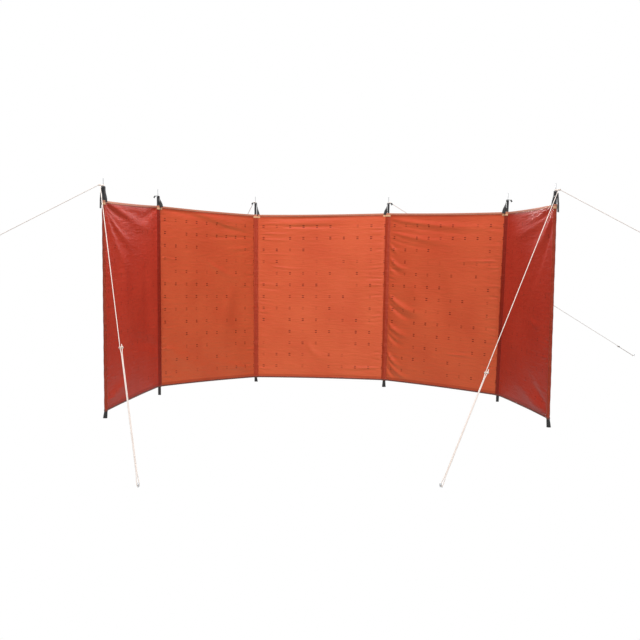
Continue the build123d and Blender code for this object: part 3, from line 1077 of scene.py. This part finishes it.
class Guy:
    """The places of one rope: round its spike, down through its runner and round its peg."""

    def __init__(self, name, pole_number, heading, run, runner_distance, loop_heading, hand, stacked):
        self.name = name
        pole = poles[pole_number - 1]
        self.arms = heading_vector(loop_heading)
        self.side = UP.cross(self.arms) * hand
        level = STRAP_TOP + LOOP_STACK_GAP + ROPE_RADIUS + stacked * (2 * ROPE_RADIUS + LOOP_STACK_GAP)
        self.spike = pole.top + pole.axis * level
        self.knot = self.spike + self.arms * ROPE_STANDOFF + self.side * SPIKE_LOOP
        self.near = pole.at(0) + heading_vector(heading) * run + UP * ROPE_PEG_HEIGHT
        self.up_rope = (self.knot - self.near).normalized()
        leftward = heading_vector(heading + 90)
        self.across = (leftward - self.up_rope * leftward.dot(self.up_rope)).normalized()
        self.peg = self.near + self.across * PEG_LOOP
        self.runner = self.peg + self.up_rope * runner_distance

    def rope_line(self):
        """The whole rope, from its end at the spike to its end above the runner."""
        line = [self.spike + self.arms * out - self.side * (SPIKE_LOOP * back) for out, back in SHORT_END]
        line += arc(self.spike, self.arms, self.side, SPIKE_LOOP, -90, -270, LOOP_STEPS)
        line += rounded([line[-1], self.knot, self.near], KNOT_BEND, BEND_STEPS)[1:-1]
        top, held = line[-1], self.runner - self.across * PEG_LOOP
        line += [top.lerp(held, step / RUN_STEPS) for step in range(1, RUN_STEPS + 1)]
        line += self.strand(-1)
        line += arc(self.peg, self.across * -1, self.up_rope * -1, PEG_LOOP, 0, 180, LOOP_STEPS)
        line += self.strand(1)[::-1]
        line.append(self.runner + self.across * PEG_LOOP + self.up_rope * FREE_END)
        return line

    def strand(self, side):
        """One strand from the runner down to the peg; between them the two lie close together."""
        points = []
        low = self.peg + self.up_rope * PEG_ARMS
        for share in np.linspace(0, 1, STRAND_STEPS + 1):
            close = float(rise(0, CLOSING, share) * rise(0, CLOSING, 1 - share))
            apart = PEG_LOOP + (ROPE_RADIUS + STRAND_GAP - PEG_LOOP) * close
            points.append(self.runner.lerp(low, share) + self.across * side * apart)
        return points


def coil(centre, axis, radius, thickness, turns, pitch):
    """Turns of cord round an axis, for a knot."""
    first = axis.orthogonal().normalized()
    second = axis.cross(first)
    points = []
    steps = int(turns * COIL_STEPS)
    for step in range(steps + 1):
        angle = 2 * math.pi * turns * step / steps
        along = pitch * turns * (step / steps - 0.5)
        points.append(turned(centre + axis * along, first, second, angle, radius))
    return tube("coil", points, thickness, sides=8)


def make_rope(guy):
    """The braided rope with the knots at its loop and above its runner."""
    eye = guy.spike + guy.arms * (ROPE_STANDOFF - 0.003) + guy.side * (SPIKE_LOOP * 0.45)
    stopper = guy.runner + guy.across * PEG_LOOP + guy.up_rope * 0.006
    meshes = [tube("rope", guy.rope_line(), ROPE_RADIUS, sides=12),
              coil(eye, guy.arms, radius=0.0040, thickness=0.0018, turns=3.2, pitch=0.0037),
              coil(stopper, guy.up_rope, radius=0.0021, thickness=0.0019, turns=2.4, pitch=0.0032)]
    name = f"guy_{guy.name}"
    piece = add_piece(name, joined(name, meshes), white_rope)
    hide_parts(f"rope_{guy.name}")


def dress_nodes():
    """The rigid solids of the model keep their meshes and take their materials here."""
    finishes = {"pole": coated_steel, "spike": bright_steel, "foot": black_plastic,
                "peg": bright_steel, "runner": white_plastic, "runner_rear_right": black_plastic}
    for name, node in nodes.items():
        finish = finishes.get(name) or finishes.get(name.split("_")[0])
        if finish:
            node.data.materials.clear()
            node.data.materials.append(finish)


# White suns: name, direction from the object, strength and apparent size in degrees
SUNS = (
    ("low_sun", (-0.16, 0.98, 0.03), 2.0, 12),
    ("high_sun", (0.10, -0.58, 0.80), 1.5, 20),
    ("front_sky", (0.03, -0.93, 0.36), 0.85, 24),
    ("right_sky", (0.42, 0.88, 0.24), 0.38, 22),
    ("left_sky", (-0.42, 0.88, 0.24), 0.29, 22),
)
OVERHEAD_PLACE = (-0.1, -1.2, 3.2)
OVERHEAD_SIZE = 1.5
OVERHEAD_POWER = 84.0


def make_lights():
    """The suns, and a white disk overhead that shines straight down."""
    for name, towards, strength, angle in SUNS:
        sun = bpy.data.lights.new(name, "SUN")
        sun.energy = strength
        sun.angle = math.radians(angle)
        turn = (-Vector(towards)).to_track_quat("-Z", "Y").to_euler()
        add_object(name, sun).rotation_euler = turn
    disk = bpy.data.lights.new("overhead", "AREA")
    disk.shape = "DISK"
    disk.size = OVERHEAD_SIZE
    disk.energy = OVERHEAD_POWER
    add_object("overhead", disk).location = OVERHEAD_PLACE


def make_world():
    """White to the camera and in glossy reflections, and a soft even sky to everything else."""
    world = bpy.data.worlds.new("sky")
    bpy.context.scene.world = world
    world.use_nodes = True
    tree = world.node_tree
    path = tree.nodes.new("ShaderNodeLightPath")
    sky = tree.nodes["Background"]
    set_shader(tree, sky, Color=(1.0, 0.98, 0.97, 1.0), Strength=0.25)
    white = tree.nodes.new("ShaderNodeBackground")
    set_shader(tree, white, Color=(1.0, 1.0, 1.0, 1.0), Strength=1.0)
    shown = calc(tree, "MAXIMUM", path.outputs["Is Camera Ray"], path.outputs["Is Glossy Ray"])
    show_both(tree, shown, sky, white, "World Output")


def make_camera():
    data = bpy.data.cameras.new("camera")
    data.sensor_width = SENSOR
    data.lens = SENSOR * FOCAL_PIXELS / PICTURE
    camera = add_object("camera", data)
    turn = Matrix.Rotation(math.radians(CAMERA_YAW), 4, "Z")
    turn @= Matrix.Rotation(math.radians(90 - CAMERA_PITCH), 4, "X")
    turn @= Matrix.Rotation(math.radians(CAMERA_ROLL), 4, "Z")
    camera.matrix_world = Matrix.Translation(CAMERA_PLACE) @ turn
    bpy.context.scene.camera = camera


for bay in bays:
    sheet = make_bay_cloth(bay)
    trims = make_hems(bay) + [make_stitching(bay)]
for pole in poles:
    make_sleeve(pole)
    make_sleeve_tapes(pole)
    if not pole.is_end:
        make_tab(pole)
    make_strap(pole)
    make_eyelet(pole)
for guy in GUYS:
    make_rope(Guy(*guy))
dress_nodes()
make_world()
make_camera()
make_lights()
bpy.context.scene.view_settings.view_transform = "Standard"
